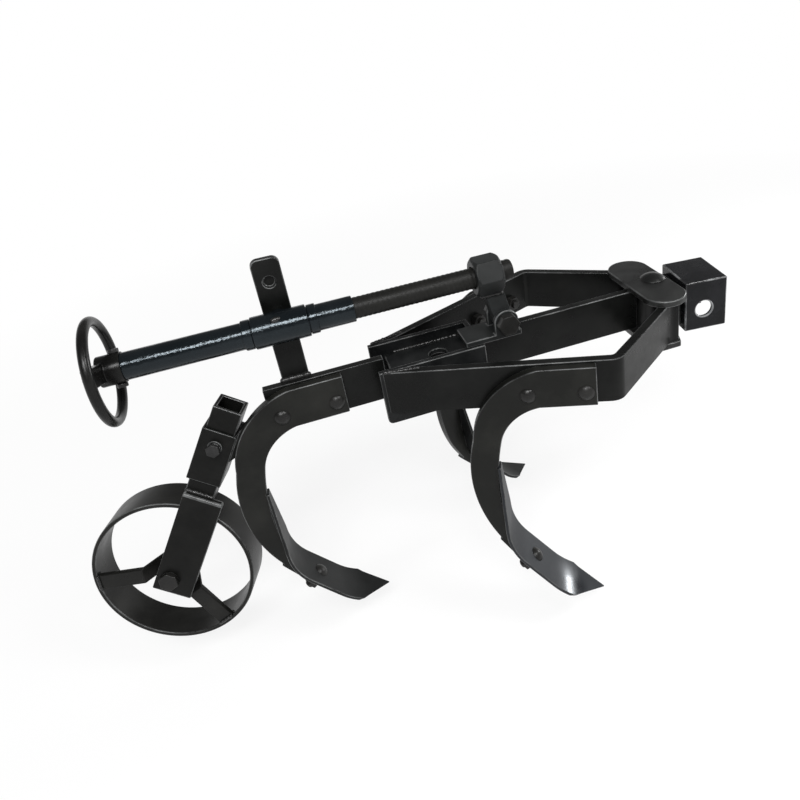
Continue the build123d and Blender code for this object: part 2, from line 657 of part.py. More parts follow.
def handwheel_pin():
    low = SCREW_ABOVE - HAND_HUB_RADIUS
    high = SCREW_ABOVE + HAND_HUB_RADIUS
    pin = rod_z(HAND_PIN_RADIUS, low, high, hand_pin_x(), SCREW_Y)
    head = rod_z(HAND_PIN_HEAD_RADIUS, high, high + HAND_PIN_HEAD, hand_pin_x(), SCREW_Y)
    return hand_turned(pin + head + Pos(0, 0, low - high - HAND_PIN_HEAD) * head)


# Travelling nut, lug and clevis

def screw_nut():
    low = SCREW_NUT_X - SCREW_NUT_LENGTH / 2
    hexagon = RegularPolygon(SCREW_NUT_FLATS / 2, 6, major_radius=False)
    across = Plane(origin=(low, SCREW_Y, SCREW_ABOVE), x_dir=(0, 1, 0), z_dir=(1, 0, 0))
    nut = extrude(across * hexagon, SCREW_NUT_LENGTH)
    corners = screw_bar(SCREW_NUT_FLATS / math.sqrt(3), low, low + SCREW_NUT_LENGTH)
    nut &= chamfer(corners.edges().filter_by(GeomType.CIRCLE), SCREW_NUT_CHAMFER)
    return nut - screw_bar(ROD_RADIUS + SCREW_NUT_GAP, low, low + SCREW_NUT_LENGTH)


def nut_lug():
    low = SCREW_Y - LUG_THICK / 2
    high = SCREW_Y + LUG_THICK / 2
    half = LUG_WIDTH / 2
    corners = [(LUG_X - half, LUG_Z), (LUG_X + half, LUG_Z), (SCREW_NUT_X + half, SCREW_ABOVE),
               (SCREW_NUT_X - half, SCREW_ABOVE)]
    lug = plate_xz(make_face(Polyline(*corners, close=True)), low, high)
    lug += rod_y(LUG_EYE_RADIUS, low, high, LUG_X, LUG_Z)
    lug -= rod_y(LUG_BOLT_RADIUS + FIT_GAP, low, high, LUG_X, LUG_Z)
    return lug - screw_nut() - screw_bar(ROD_RADIUS + SCREW_NUT_GAP, 0, ROD_FRONT_X)


def clevis_ears():
    """The outer and inner Y of each ear, the right one first."""
    gap = LUG_THICK / 2 + SIDE_GAP
    right = (SCREW_Y - gap - CLEVIS_EAR_THICK, SCREW_Y - gap)
    left = (SCREW_Y + gap, SCREW_Y + gap + CLEVIS_EAR_THICK)
    return right, left


def nut_clevis():
    right, left = clevis_ears()
    base_left = max(left[1], BAR_HALF)
    bracket = block(CLEVIS_BASE_REAR_X, CLEVIS_BASE_FRONT_X, right[0], base_left, 0, CLEVIS_BASE_THICK)
    half = CLEVIS_EAR_WIDTH / 2
    for low, high in (right, left):
        ear = block(LUG_X - half, LUG_X + half, low, high, 0, LUG_Z) + rod_y(half, low, high, LUG_X, LUG_Z)
        bracket += ear
    return bracket - rod_y(LUG_BOLT_RADIUS + FIT_GAP, right[0], left[1], LUG_X, LUG_Z)


def lug_bolt():
    right, left = clevis_ears()
    end = left[1] + LUG_NUT_HEIGHT + BOLT_END_LENGTH
    head = hexagon_y(LUG_NUT_FLATS, right[0] - LUG_NUT_HEIGHT, right[0], LUG_X, LUG_Z)
    return head + rod_y(LUG_BOLT_RADIUS, right[0], end, LUG_X, LUG_Z)


def lug_bolt_nut():
    low = clevis_ears()[1][1]
    nut = hexagon_y(LUG_NUT_FLATS, low, low + LUG_NUT_HEIGHT, LUG_X, LUG_Z)
    return nut - rod_y(LUG_BOLT_RADIUS + FIT_GAP, low, low + LUG_NUT_HEIGHT, LUG_X, LUG_Z)


# Gauge wheel column, drawn upright about its own axis with the axle at zero

def square_tube(size, wall, z_low, z_high):
    half = size / 2
    inner = half - wall
    return (block(-half, half, -half, half, z_low, z_high)
            - block(-inner, inner, -inner, inner, z_low, z_high))


def clamp_place():
    """A frame on the sleeve's right face, with Z out of the face."""
    return Pos(0, -SLEEVE_SIZE / 2, SLEEVE_END - CLAMP_FROM_TOP) * Rot(90, 0, 0)


def wheel_sleeve():
    sleeve = square_tube(SLEEVE_SIZE, SLEEVE_WALL, SLEEVE_START, SLEEVE_END)
    sleeve += clamp_place() * rod_z(CLAMP_BOLT_FLATS / 2, 0, CLAMP_BOSS_HEIGHT, 0, 0)
    sleeve -= clamp_place() * rod_z(CLAMP_BOLT_RADIUS + FIT_GAP, -SLEEVE_WALL, CLAMP_BOSS_HEIGHT, 0, 0)
    return COLUMN * sleeve


def clamp_bolt():
    head = hexagon_z(CLAMP_BOLT_FLATS, CLAMP_BOSS_HEIGHT, CLAMP_BOSS_HEIGHT + CLAMP_HEAD_HEIGHT, 0, 0)
    shank = rod_z(CLAMP_BOLT_RADIUS, FIT_GAP - SLEEVE_WALL - SLIDE_GAP, CLAMP_BOSS_HEIGHT, 0, 0)
    return COLUMN * clamp_place() * (head + shank)


def sleeve_gusset():
    def on_column(from_top):
        spot = (COLUMN * Pos(0, 0, SLEEVE_END - from_top)).position
        return spot.X, spot.Z

    corners = [(-REAR_BEAM_LENGTH, -GUSSET_TOP_DROP), on_column(GUSSET_SLEEVE_TOP),
               on_column(GUSSET_SLEEVE_BOTTOM), (-REAR_BEAM_LENGTH, -BAR_HEIGHT)]
    plate = plate_xz(make_face(Polyline(*corners, close=True)), -BAR_HALF, BAR_HALF)
    half = SLEEVE_SIZE / 2
    return plate - COLUMN * block(-2 * half, half, -2 * half, 2 * half, 0, POST_END)


def wheel_post():
    return COLUMN * square_tube(POST_SIZE, POST_WALL, POST_START, POST_END)


def side_arm():
    half = SIDE_ARM_WIDTH / 2
    back = -POST_SIZE / 2
    rear = SIDE_ARM_SHIFT - half
    front = SIDE_ARM_SHIFT + half
    arm = block(rear, front, back - SIDE_ARM_THICK, back, -SIDE_ARM_FOOT, SIDE_ARM_TOP)
    return COLUMN * (arm - rod_y(AXLE_RADIUS + FIT_GAP, back - SIDE_ARM_THICK, back, 0, 0))


def wheel_hub_ends():
    near = SIDE_GAP - POST_SIZE / 2
    return near, near + WHEEL_HUB_LENGTH


def axle_bolt():
    seat = -POST_SIZE / 2 - SIDE_ARM_THICK
    end = wheel_hub_ends()[1] + SIDE_GAP + AXLE_HEAD_HEIGHT + AXLE_END_LENGTH
    head = hexagon_y(AXLE_HEAD_FLATS, seat - AXLE_HEAD_HEIGHT, seat, 0, 0)
    return COLUMN * (head + rod_y(AXLE_RADIUS, seat, end, 0, 0))


def axle_nut():
    low = wheel_hub_ends()[1] + SIDE_GAP
    nut = hexagon_y(AXLE_HEAD_FLATS, low, low + AXLE_HEAD_HEIGHT, 0, 0)
    return COLUMN * (nut - rod_y(AXLE_RADIUS + FIT_GAP, low, low + AXLE_HEAD_HEIGHT, 0, 0))


# Gauge wheel

def wheel_rim():
    near = WHEEL_ARM_GAP - POST_SIZE / 2
    far = near + WHEEL_WIDTH
    band = rod_y(WHEEL_RADIUS, near, far, 0, 0) - rod_y(WHEEL_RADIUS - WHEEL_BAND, near, far, 0, 0)
    return COLUMN * band


def wheel_hub():
    near, far = wheel_hub_ends()
    return COLUMN * (rod_y(WHEEL_HUB_RADIUS, near, far, 0, 0) - rod_y(AXLE_RADIUS + FIT_GAP, near, far, 0, 0))


def wheel_spokes():
    inner = WHEEL_RADIUS - WHEEL_BAND
    path = [(0, SPOKE_HUB_Y), (SPOKE_INNER_BEND * WHEEL_RADIUS, SPOKE_HUB_Y),
            (SPOKE_OUTER_BEND * WHEEL_RADIUS, SPOKE_RIM_Y), (WHEEL_RADIUS, SPOKE_RIM_Y)]
    back = [(along, y - SPOKE_THICK) for along, y in reversed(path)]
    strip = plate_xy(make_face(Polyline(*path, *back, close=True)), -SPOKE_WIDTH / 2, SPOKE_WIDTH / 2)
    strip = strip & rod_y(inner, -WHEEL_RADIUS, WHEEL_RADIUS, 0, 0)
    strip -= rod_y(WHEEL_HUB_RADIUS, -WHEEL_RADIUS, WHEEL_RADIUS, 0, 0)
    angles = [SPOKE_FIRST_ANGLE + number * 360 / SPOKE_COUNT for number in range(SPOKE_COUNT)]
    return COLUMN * Compound([Rot(0, -angle, 0) * strip for angle in angles])


PIECES = {
    "front_beam": front_beam(),
    "right_cheek": right_cheek(),
    "left_cheek": mirrored(right_cheek()),
    "deck_plate": deck_plate(),
    "box_front_plate": box_front_plate(),
    "right_arm": right_arm(),
    "left_arm": mirrored(right_arm()),
    "hitch_top_plate": hitch_top_plate(),
    "hitch_bottom_plate": hitch_bottom_plate(),
    "swing_bolt": swing_bolt(),
    "swing_nut": swing_nut(),
    "tilt_pin": tilt_pin(),
    "tilt_spacers": tilt_spacers(),
    "nut_clevis": nut_clevis(),
    "lug_bolt": lug_bolt(),
    "lug_bolt_nut": lug_bolt_nut(),
    "right_tine": RIGHT_TINE * tine(),
    "left_tine": mirrored(RIGHT_TINE * tine()),
    "right_shovel": RIGHT_TINE * shovel(),
    "left_shovel": mirrored(RIGHT_TINE * shovel()),
    "front_tine_bolts": both_sides(tine_fasteners(cup_bolt)),
    "front_tine_nuts": both_sides(tine_fasteners(cup_bolt_nut)),
    "front_shovel_bolts": both_sides([shovel_fastener(cup_bolt)]),
    "front_shovel_nuts": both_sides([shovel_fastener(cup_bolt_nut)]),
    "hitch_knuckle": hitch_knuckle(),
    "hitch_channel": hitch_channel(),
    "rear_beam": rear_beam(),
    "upright": upright(),
    "rear_tine": REAR_TINE * tine(),
    "rear_shovel": REAR_TINE * shovel(),
    "rear_tine_bolts": REAR_TINE * Compound(tine_fasteners(cup_bolt)),
    "rear_tine_nuts": REAR_TINE * Compound(tine_fasteners(cup_bolt_nut)),
    "rear_shovel_bolt": REAR_TINE * shovel_fastener(cup_bolt),
    "rear_shovel_nut": REAR_TINE * shovel_fastener(cup_bolt_nut),
    "wheel_sleeve": wheel_sleeve(),
    "sleeve_gusset": sleeve_gusset(),
    "clamp_bolt": clamp_bolt(),
    "wheel_post": wheel_post(),
    "side_arm": side_arm(),
    "axle_bolt": axle_bolt(),
    "axle_nut": axle_nut(),
    "wheel_rim": wheel_rim(),
    "wheel_spokes": wheel_spokes(),
    "wheel_hub": wheel_hub(),
    "collar": collar(),
    "trunnion_nut": trunnion_nut(),
    "screw_pipe": screw_pipe(),
    "threaded_rod": threaded_rod(),
    "stop_rings": stop_rings(),
    "handwheel_rim": handwheel_rim(),
    "handwheel_spokes": handwheel_spokes(),
    "handwheel_pin": handwheel_pin(),
    "screw_nut": screw_nut(),
    "nut_lug": nut_lug(),
}

os.makedirs("parts", exist_ok=True)
TO_ORIGIN = Pos(*(-HITCH_PIN.position))
for node, shape in PIECES.items():
    export_step(TO_ORIGIN * shape, f"parts/{node}.step")
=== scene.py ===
import json
import math

import bpy
from mathutils import Matrix, Vector

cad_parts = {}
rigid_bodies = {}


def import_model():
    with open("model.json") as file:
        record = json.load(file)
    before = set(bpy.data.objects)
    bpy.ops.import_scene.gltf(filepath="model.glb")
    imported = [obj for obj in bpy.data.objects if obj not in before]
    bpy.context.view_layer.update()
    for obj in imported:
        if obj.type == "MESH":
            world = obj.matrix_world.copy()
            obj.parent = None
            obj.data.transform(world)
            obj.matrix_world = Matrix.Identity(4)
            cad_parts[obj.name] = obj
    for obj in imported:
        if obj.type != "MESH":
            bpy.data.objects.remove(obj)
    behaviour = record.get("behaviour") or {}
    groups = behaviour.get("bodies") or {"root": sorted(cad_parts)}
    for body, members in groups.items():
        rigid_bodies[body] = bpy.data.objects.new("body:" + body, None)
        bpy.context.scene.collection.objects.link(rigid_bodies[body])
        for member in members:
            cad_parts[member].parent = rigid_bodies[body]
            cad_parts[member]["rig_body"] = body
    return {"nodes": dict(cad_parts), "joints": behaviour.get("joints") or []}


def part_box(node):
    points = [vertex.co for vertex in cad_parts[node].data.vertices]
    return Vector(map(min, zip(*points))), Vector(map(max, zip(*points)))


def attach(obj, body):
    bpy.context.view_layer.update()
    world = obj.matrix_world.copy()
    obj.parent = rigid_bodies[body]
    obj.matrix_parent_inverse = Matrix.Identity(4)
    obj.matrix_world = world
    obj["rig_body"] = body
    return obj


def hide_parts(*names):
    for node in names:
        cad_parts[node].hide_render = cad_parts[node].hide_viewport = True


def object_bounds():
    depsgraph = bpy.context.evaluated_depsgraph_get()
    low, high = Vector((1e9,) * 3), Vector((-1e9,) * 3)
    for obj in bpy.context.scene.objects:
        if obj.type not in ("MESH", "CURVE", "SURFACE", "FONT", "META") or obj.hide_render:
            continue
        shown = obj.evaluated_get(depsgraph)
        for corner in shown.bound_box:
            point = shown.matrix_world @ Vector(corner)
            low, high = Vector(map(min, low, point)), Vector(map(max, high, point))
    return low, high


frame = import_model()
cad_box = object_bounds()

# Studio: a pale floor, low enough for the wheel's lowest pose, soft lamps on both
# sides, and a camera at the height and angle of the photograph.
scene = bpy.context.scene
scene.view_settings.view_transform = "Standard"

camera_data = bpy.data.cameras.new("studio_camera")
camera_data.sensor_width = 36.0
camera_data.lens = 30.916
camera_data.shift_x = -0.0628
camera_data.shift_y = -0.1147
camera_data.clip_start = 0.02
camera = bpy.data.objects.new("studio_camera", camera_data)
camera.location = (-0.35753, -0.51479, 0.31881)
camera.rotation_euler = [math.radians(turn) for turn in (63.1828, 7.7518, -16.9805)]
scene.collection.objects.link(camera)
scene.camera = camera


def deselect():
    """Leave nothing selected, so that the next operator acts on the new piece alone."""
    bpy.ops.object.select_all(action="DESELECT")


def settle():
    """Write the selected piece's place, turn and size into its mesh."""
    bpy.ops.object.transform_apply(location=True, rotation=True, scale=True)


def add_node(tree, kind, operation=None, values=None):
    """A new shader node, with its operation and some of its inputs set."""
    node = tree.nodes.new("ShaderNode" + kind)
    if operation:
        node.operation = operation
    for socket, value in (values or {}).items():
        node.inputs[socket].default_value = value
    return node


def add_ramp(tree, start=0.0, end=1.0, low=0.0, high=1.0):
    """A node that turns the values from start to end into values from low to high."""
    return add_node(tree, "MapRange", values={
        "From Min": start, "From Max": end, "To Min": low, "To Max": high})


def link(tree, start, end):
    """Join two sockets, each given as a node and a socket's name or number."""
    tree.links.new(start[0].outputs[start[1]], end[0].inputs[end[1]])


FLOOR_SIZE = 14.0
FLOOR_DROP = 0.042
WHITE = (1.0, 1.0, 1.0, 1.0)
deselect()
bpy.ops.mesh.primitive_plane_add(size=FLOOR_SIZE, location=(0.0, 0.0, cad_box[0][2] - FLOOR_DROP))
floor = bpy.context.active_object
floor.name = "studio_floor"
settle()
floor_paper = bpy.data.materials.new("pale_floor_paper")
floor_paper.use_nodes = True
tree = floor_paper.node_tree
paper = tree.nodes["Principled BSDF"]
paper.inputs["Base Color"].default_value = (0.86, 0.86, 0.86, 1.0)
paper.inputs["Roughness"].default_value = 0.9
paper.inputs["Specular IOR Level"].default_value = 0.0
glow = add_node(tree, "Emission", values={"Color": WHITE})
rays = add_node(tree, "LightPath")
seen = add_node(tree, "Math", "MAXIMUM")
place = add_node(tree, "TexCoord")
away = add_node(tree, "VectorMath", "LENGTH")
fade = add_ramp(tree, start=0.4, end=1.5, low=0.8, high=1.0)
share = add_node(tree, "Math", "MULTIPLY")
both = add_node(tree, "MixShader")
link(tree, (rays, "Is Camera Ray"), (seen, 0))
link(tree, (rays, "Is Glossy Ray"), (seen, 1))
link(tree, (place, "Object"), (away, 0))
link(tree, (away, "Value"), (fade, "Value"))
link(tree, (seen, 0), (share, 0))
link(tree, (fade, "Result"), (share, 1))
link(tree, (share, 0), (both, "Fac"))
link(tree, (paper, "BSDF"), (both, 1))
link(tree, (glow, "Emission"), (both, 2))
link(tree, (both, 0), (tree.nodes["Material Output"], "Surface"))
floor.data.materials.append(floor_paper)

# The world is white to the camera, darkens upward in reflections, and lights softly
SOFT_LIGHT = 0.4
world = bpy.data.worlds.new("studio_world")
scene.world = world
world.use_nodes = True
tree = world.node_tree
sky = tree.nodes["Background"]
sky.inputs["Color"].default_value = WHITE
rays = add_node(tree, "LightPath")
seen = add_node(tree, "Math", "MAXIMUM")
place = add_node(tree, "TexCoord")
height = add_node(tree, "SeparateXYZ")
horizon = add_ramp(tree, start=0.10, end=0.34, low=1.0, high=0.2)
mirrored = add_ramp(tree, low=SOFT_LIGHT)
level = add_ramp(tree)
link(tree, (place, "Generated"), (height, "Vector"))
link(tree, (height, "Z"), (horizon, "Value"))
link(tree, (horizon, "Result"), (mirrored, "To Max"))
link(tree, (rays, "Is Glossy Ray"), (mirrored, "Value"))
link(tree, (rays, "Is Camera Ray"), (seen, 0))
link(tree, (rays, "Is Transmission Ray"), (seen, 1))
link(tree, (mirrored, "Result"), (level, "To Min"))
link(tree, (seen, 0), (level, "Value"))
link(tree, (level, "Result"), (sky, "Strength"))


def softbox(name, place, aim, size, watts):
    """A flat lamp that looks at a point."""
    lamp = bpy.data.lights.new(name, "AREA")
    lamp.shape = "RECTANGLE"
    lamp.size, lamp.size_y = size
    lamp.energy = watts
    box = bpy.data.objects.new(name, lamp)
    box.location = place
    box.rotation_euler = (Vector(aim) - Vector(place)).to_track_quat("-Z", "Y").to_euler()
    scene.collection.objects.link(box)


softbox("near_strip", place=(0.0, -0.80, 1.05), aim=(-0.2, 0.0, 0.0), size=(2.2, 0.06), watts=6.0)
softbox("near_box", place=(-0.50, -0.85, 0.98), aim=(-0.4, -0.02, 0.08), size=(0.62, 0.28), watts=13.0)
softbox("front_box", place=(0.46, -0.64, 1.02), aim=(0.0, 0.0, 0.0), size=(0.36, 0.36), watts=8.0)
softbox("far_box", place=(1.05, 0.36, 0.19), aim=(-0.18, -0.08, -0.2), size=(0.14, 0.17), watts=7.0)


# Flat bars of the frame: the beam on edge and the two bent arms, hot-rolled
# 40 x 8 mm steel that is cut, bent, welded and sprayed black.
def new_group(name, inputs, outputs):
    """An empty shader node group with named sockets, and its two end nodes."""
    group = bpy.data.node_groups.new(name, "ShaderNodeTree")
    for socket, kind, value in inputs:
        made = group.interface.new_socket(socket, in_out="INPUT", socket_type=kind)
        made.default_value = value
    for socket, kind in outputs:
        group.interface.new_socket(socket, in_out="OUTPUT", socket_type=kind)
    return group, group.nodes.new("NodeGroupInput"), group.nodes.new("NodeGroupOutput")


# Sprayed paint: fine orange peel, slow changes of gloss, and pale blotches, which are dust on most
# finishes and a painted highlight on the edge finishes
MIX_FIRST = 6
MIX_SECOND = 7
MIX_RESULT = 2
WAVE_HEIGHT = 3.0
sprayed_paint, given, result = new_group(
    "sprayed_paint",
    [("Paint", "NodeSocketColor", (0.01, 0.01, 0.01, 1.0)),
     ("Dust And Highlight", "NodeSocketColor", (0.03, 0.03, 0.028, 1.0)),
     ("Dust And Highlight Amount", "NodeSocketFloat", 0.3),
     ("Blotch Scale", "NodeSocketFloat", 26.0),
     ("Peel Scale", "NodeSocketFloat", 620.0),
     ("Shiny", "NodeSocketFloat", 0.24),
     ("Dull", "NodeSocketFloat", 0.46)],
    [("Color", "NodeSocketColor"), ("Roughness", "NodeSocketFloat"), ("Height", "NodeSocketFloat")])
tree = sprayed_paint
place = add_node(tree, "TexCoord")
blotch = add_node(tree, "TexNoise", values={"Detail": 6.0, "Roughness": 0.62})
link(tree, (place, "Object"), (blotch, "Vector"))
link(tree, (given, "Blotch Scale"), (blotch, "Scale"))
spread = add_ramp(tree, start=0.42, end=0.72)
link(tree, (blotch, "Fac"), (spread, "Value"))
pale_blotch_share = add_node(tree, "Math", "MULTIPLY")
link(tree, (spread, "Result"), (pale_blotch_share, 0))
link(tree, (given, "Dust And Highlight Amount"), (pale_blotch_share, 1))
tint = add_node(tree, "Mix")
tint.data_type = "RGBA"
link(tree, (pale_blotch_share, 0), (tint, "Factor"))
link(tree, (given, "Paint"), (tint, MIX_FIRST))
link(tree, (given, "Dust And Highlight"), (tint, MIX_SECOND))
link(tree, (tint, MIX_RESULT), (result, "Color"))
gloss = add_ramp(tree, start=0.32, end=0.7)
link(tree, (blotch, "Fac"), (gloss, "Value"))
link(tree, (given, "Shiny"), (gloss, "To Min"))
link(tree, (given, "Dull"), (gloss, "To Max"))
link(tree, (gloss, "Result"), (result, "Roughness"))
peel = add_node(tree, "TexNoise", values={"Detail": 2.0})
link(tree, (place, "Object"), (peel, "Vector"))
link(tree, (given, "Peel Scale"), (peel, "Scale"))
waves = add_node(tree, "TexNoise", values={"Scale": 70.0, "Detail": 3.0})
link(tree, (place, "Object"), (waves, "Vector"))
relief = add_node(tree, "Math", "MULTIPLY_ADD", values={1: WAVE_HEIGHT})
link(tree, (waves, "Fac"), (relief, 0))
link(tree, (peel, "Fac"), (relief, 2))
link(tree, (relief, 0), (result, "Height"))

BUMP_DISTANCE = 0.0006


def painted(name, paint, dust_and_highlight, dust_and_highlight_amount, shiny, dull, bump=0.05, specular=0.15,
            tint=(1.0, 1.0, 1.0)):
    """A sprayed finish: the paint group feeds one Principled shader."""
    material = bpy.data.materials.new(name)
    material.use_nodes = True
    tree = material.node_tree
    shader = tree.nodes["Principled BSDF"]
    shader.inputs["Specular IOR Level"].default_value = specular
    shader.inputs["Specular Tint"].default_value = (*tint, 1.0)
    coat = tree.nodes.new("ShaderNodeGroup")
    coat.name = "coat"
    coat.node_tree = sprayed_paint
    coat.inputs["Paint"].default_value = (*paint, 1.0)
    coat.inputs["Dust And Highlight"].default_value = (*dust_and_highlight, 1.0)
    coat.inputs["Dust And Highlight Amount"].default_value = dust_and_highlight_amount
    coat.inputs["Shiny"].default_value = shiny
    coat.inputs["Dull"].default_value = dull
    relief = add_node(tree, "Bump", values={"Strength": bump, "Distance": BUMP_DISTANCE})
    link(tree, (coat, "Color"), (shader, "Base Color"))
    link(tree, (coat, "Roughness"), (shader, "Roughness"))
    link(tree, (coat, "Height"), (relief, "Height"))
    link(tree, (relief, "Normal"), (shader, "Normal"))
    return material


frame_black = painted("frame_black", paint=(0.0030, 0.0032, 0.0030), dust_and_highlight=(0.012, 0.0124, 0.0116),
                      dust_and_highlight_amount=0.45, shiny=0.22, dull=0.42, specular=0.13)
# Painted highlight: a dark paint with dense pale blotches, laid on the broken edges in place of the
# light lines that they catch.
painted_edge_highlight = painted("painted_edge_highlight", paint=(0.010, 0.0104, 0.0104), dust_and_highlight=(0.16, 0.165, 0.165),
                    dust_and_highlight_amount=0.75, shiny=0.22, dull=0.40, bump=0.2, specular=0.4)


def edit(piece, step):
    """Run one step of edit-mode work on a piece, with everything in it selected."""
    deselect()
    piece.select_set(True)
    bpy.context.view_layer.objects.active = piece
    bpy.ops.object.mode_set(mode="EDIT")
    bpy.ops.mesh.select_all(action="SELECT")
    step()
    bpy.ops.object.mode_set(mode="OBJECT")


def modify(piece, name, kind, **settings):
    """Give the active piece a modifier with these settings, and apply it."""
    modifier = piece.modifiers.new(name, kind)
    for setting, value in settings.items():
        setattr(modifier, setting, value)
    bpy.ops.object.modifier_apply(modifier=modifier.name)


SHARP_ANGLE = math.radians(38.0)
FLAT_ANGLE = math.radians(0.4)
SAME_PLACE = 0.000002
SAME_AS_BESIDE = -1
SECOND_MATERIAL = 1


def join_flat_faces():
    """Join the triangles of each flat face, so that only real edges are left."""
    bpy.ops.mesh.remove_doubles(threshold=SAME_PLACE)
    bpy.ops.mesh.dissolve_limited(angle_limit=FLAT_ANGLE)


def rounded(node, material, edge, steps=2, highlight_finish=None):
    """A copy of a CAD node with its sharp edges broken, as sawn and sprayed steel has them, and with a
    painted highlight on the broken edges when a second finish is given.
    """
    piece = bpy.data.objects.new(node + "_painted", frame["nodes"][node].data.copy())
    scene.collection.objects.link(piece)
    edit(piece, join_flat_faces)
    piece.data.materials.clear()
    piece.data.materials.append(material)
    if highlight_finish:
        piece.data.materials.append(highlight_finish)
    # The bevel faces take the second finish when one is given: a painted highlight along the broken
    # edges.
    modify(piece, "broken_edges", "BEVEL", width=edge, segments=steps, limit_method="ANGLE",
           angle_limit=SHARP_ANGLE, use_clamp_overlap=False,
           material=SECOND_MATERIAL if highlight_finish else SAME_AS_BESIDE)
    bpy.ops.object.shade_smooth_by_angle(angle=SHARP_ANGLE)
    modify(piece, "flat_faces", "WEIGHTED_NORMAL", keep_sharp=True, weight=80)
    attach(piece, frame["nodes"][node]["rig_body"])
    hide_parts(node)


for bar in ("front_beam", "right_arm", "left_arm"):
    rounded(bar, frame_black, edge=0.0008, highlight_finish=painted_edge_highlight)

# Welded box: two cheeks, the sunk deck with its round hole and the front plate,
# flame-cut 5 mm plate with a beam welded to its front.
box_black = painted("box_black", paint=(0.0046, 0.0050, 0.0052), dust_and_highlight=(0.022, 0.023, 0.023),
                    dust_and_highlight_amount=0.6, shiny=0.20, dull=0.40)
for plate in ("right_cheek", "left_cheek", "deck_plate", "box_front_plate"):
    rounded(plate, box_black, edge=0.0008, highlight_finish=painted_edge_highlight)

weld_black = painted("weld_black", paint=(0.007, 0.007, 0.007), dust_and_highlight=(0.026, 0.026, 0.025),
                     dust_and_highlight_amount=0.4, shiny=0.20, dull=0.4, bump=0.25, specular=0.45)
PUDDLE_SPACING = 0.75
PUDDLE_SWELLS = ((0.14, 2.3), (0.06, 5.1))
FEWEST_PUDDLES = 3
MELT_VOXEL = 0.3


def weld(name, start, end, bead, body):
    """One run of weld: a row of overlapping puddles that are melted into a bead."""
    run = end - start
    count = max(FEWEST_PUDDLES, round(run.length / (PUDDLE_SPACING * bead)))
    deselect()
    puddles = []
    for step in range(count):
        swell = 1.0 + sum(share * math.sin(rate * step) for share, rate in PUDDLE_SWELLS)
        bpy.ops.mesh.primitive_ico_sphere_add(subdivisions=2, radius=bead * swell,
                                              location=start + run * (step / (count - 1)))
        puddles.append(bpy.context.active_object)
    deselect()
    for puddle in puddles:
        puddle.select_set(True)
    bpy.context.view_layer.objects.active = puddles[0]
    bpy.ops.object.join()
    piece = bpy.context.active_object
    piece.name = name
    settle()
    modify(piece, "melt", "REMESH", mode="VOXEL", voxel_size=bead * MELT_VOXEL)
    bpy.ops.object.shade_smooth()
    piece.data.materials.append(weld_black)
    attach(piece, body)


SIDES = ((-1, "right"), (1, "left"))
BEAM_WELD_ABOVE_FOOT = 0.002
BEAM_WELD_BELOW_TOP = 0.001
ARM_WELD_REACH = (0.002, 0.030)
ARM_WELD_SPREAD = 0.0065
DECK_WELD_FROM_REAR = 0.010
DECK_WELD_FROM_FRONT = 0.007
beam_low, beam_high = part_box("front_beam")
beam_middle = (beam_low.y + beam_high.y) / 2.0
beam_half = (beam_high.y - beam_low.y) / 2.0
deck_low, deck_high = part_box("deck_plate")
deck_half = (deck_high.y - deck_low.y) / 2.0
box_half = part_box("left_cheek")[1].y - beam_middle
arm_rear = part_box("left_arm")[0].x


def beside(x, out, z):
    """A place that lies a given way out from the beam's middle plane."""
    return Vector((x, beam_middle + out, z))


for side, name in SIDES:
    weld(f"beam_weld_{name}",
         beside(beam_low.x, side * beam_half, beam_low.z + BEAM_WELD_ABOVE_FOOT),
         beside(beam_low.x, side * beam_half, beam_high.z - BEAM_WELD_BELOW_TOP),
         bead=0.0022, body="frame")
    weld(f"arm_weld_{name}",
         beside(arm_rear + ARM_WELD_REACH[0], side * box_half, beam_high.z),
         beside(arm_rear + ARM_WELD_REACH[1], side * (box_half + ARM_WELD_SPREAD), beam_high.z),
         bead=0.0016, body="frame")
    weld(f"deck_weld_{name}",
         beside(deck_low.x + DECK_WELD_FROM_REAR, side * deck_half, deck_high.z),
         beside(deck_high.x - DECK_WELD_FROM_FRONT, side * deck_half, deck_high.z),
         bead=0.0018, body="frame")

# Hitch joint: a plate with round corners over the bars and one with a bowed front
# under them, and the upright bolt and nut that the knuckle swings on.
plate_black = painted("plate_black", paint=(0.0064, 0.0066, 0.0064), dust_and_highlight=(0.030, 0.031, 0.030),
                      dust_and_highlight_amount=0.6, shiny=0.24, dull=0.44, specular=0.28)
rounded("hitch_top_plate", plate_black, edge=0.0010, highlight_finish=painted_edge_highlight)
rounded("hitch_bottom_plate", plate_black, edge=0.0010, highlight_finish=painted_edge_highlight)
rounded("swing_bolt", plate_black, edge=0.001)
rounded("swing_nut", plate_black, edge=0.001)
PLATE_WELD_FROM_REAR = 0.004
plate_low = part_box("hitch_top_plate")[0]
for side, name in SIDES:
    weld(f"plate_weld_{name}",
         beside(plate_low.x + PLATE_WELD_FROM_REAR, side * beam_half, plate_low.z),
         beside(beam_high.x, side * beam_half, plate_low.z), bead=0.002, body="frame")

# Hitch: a knuckle block and the drawbar channel welded in front of it, folded from
# plate and open below, with the cross hole for the towing machine's pin.
hitch_black = painted("hitch_black", paint=(0.0052, 0.0054, 0.0062), dust_and_highlight=(0.020, 0.020, 0.023),
                      dust_and_highlight_amount=0.35, shiny=0.18, dull=0.34)
# Painted highlight: pale blotches on the channel's broken edges stand in for the bright line of light
# along its top edge.
painted_channel_highlight = painted("painted_channel_highlight", paint=(0.012, 0.012, 0.013), dust_and_highlight=(0.42, 0.43, 0.44),
                       dust_and_highlight_amount=0.75, shiny=0.20, dull=0.36, bump=0.2, specular=0.5)
rounded("hitch_knuckle", plate_black, edge=0.001)
rounded("hitch_channel", hitch_black, edge=0.0013, steps=3, highlight_finish=painted_channel_highlight)

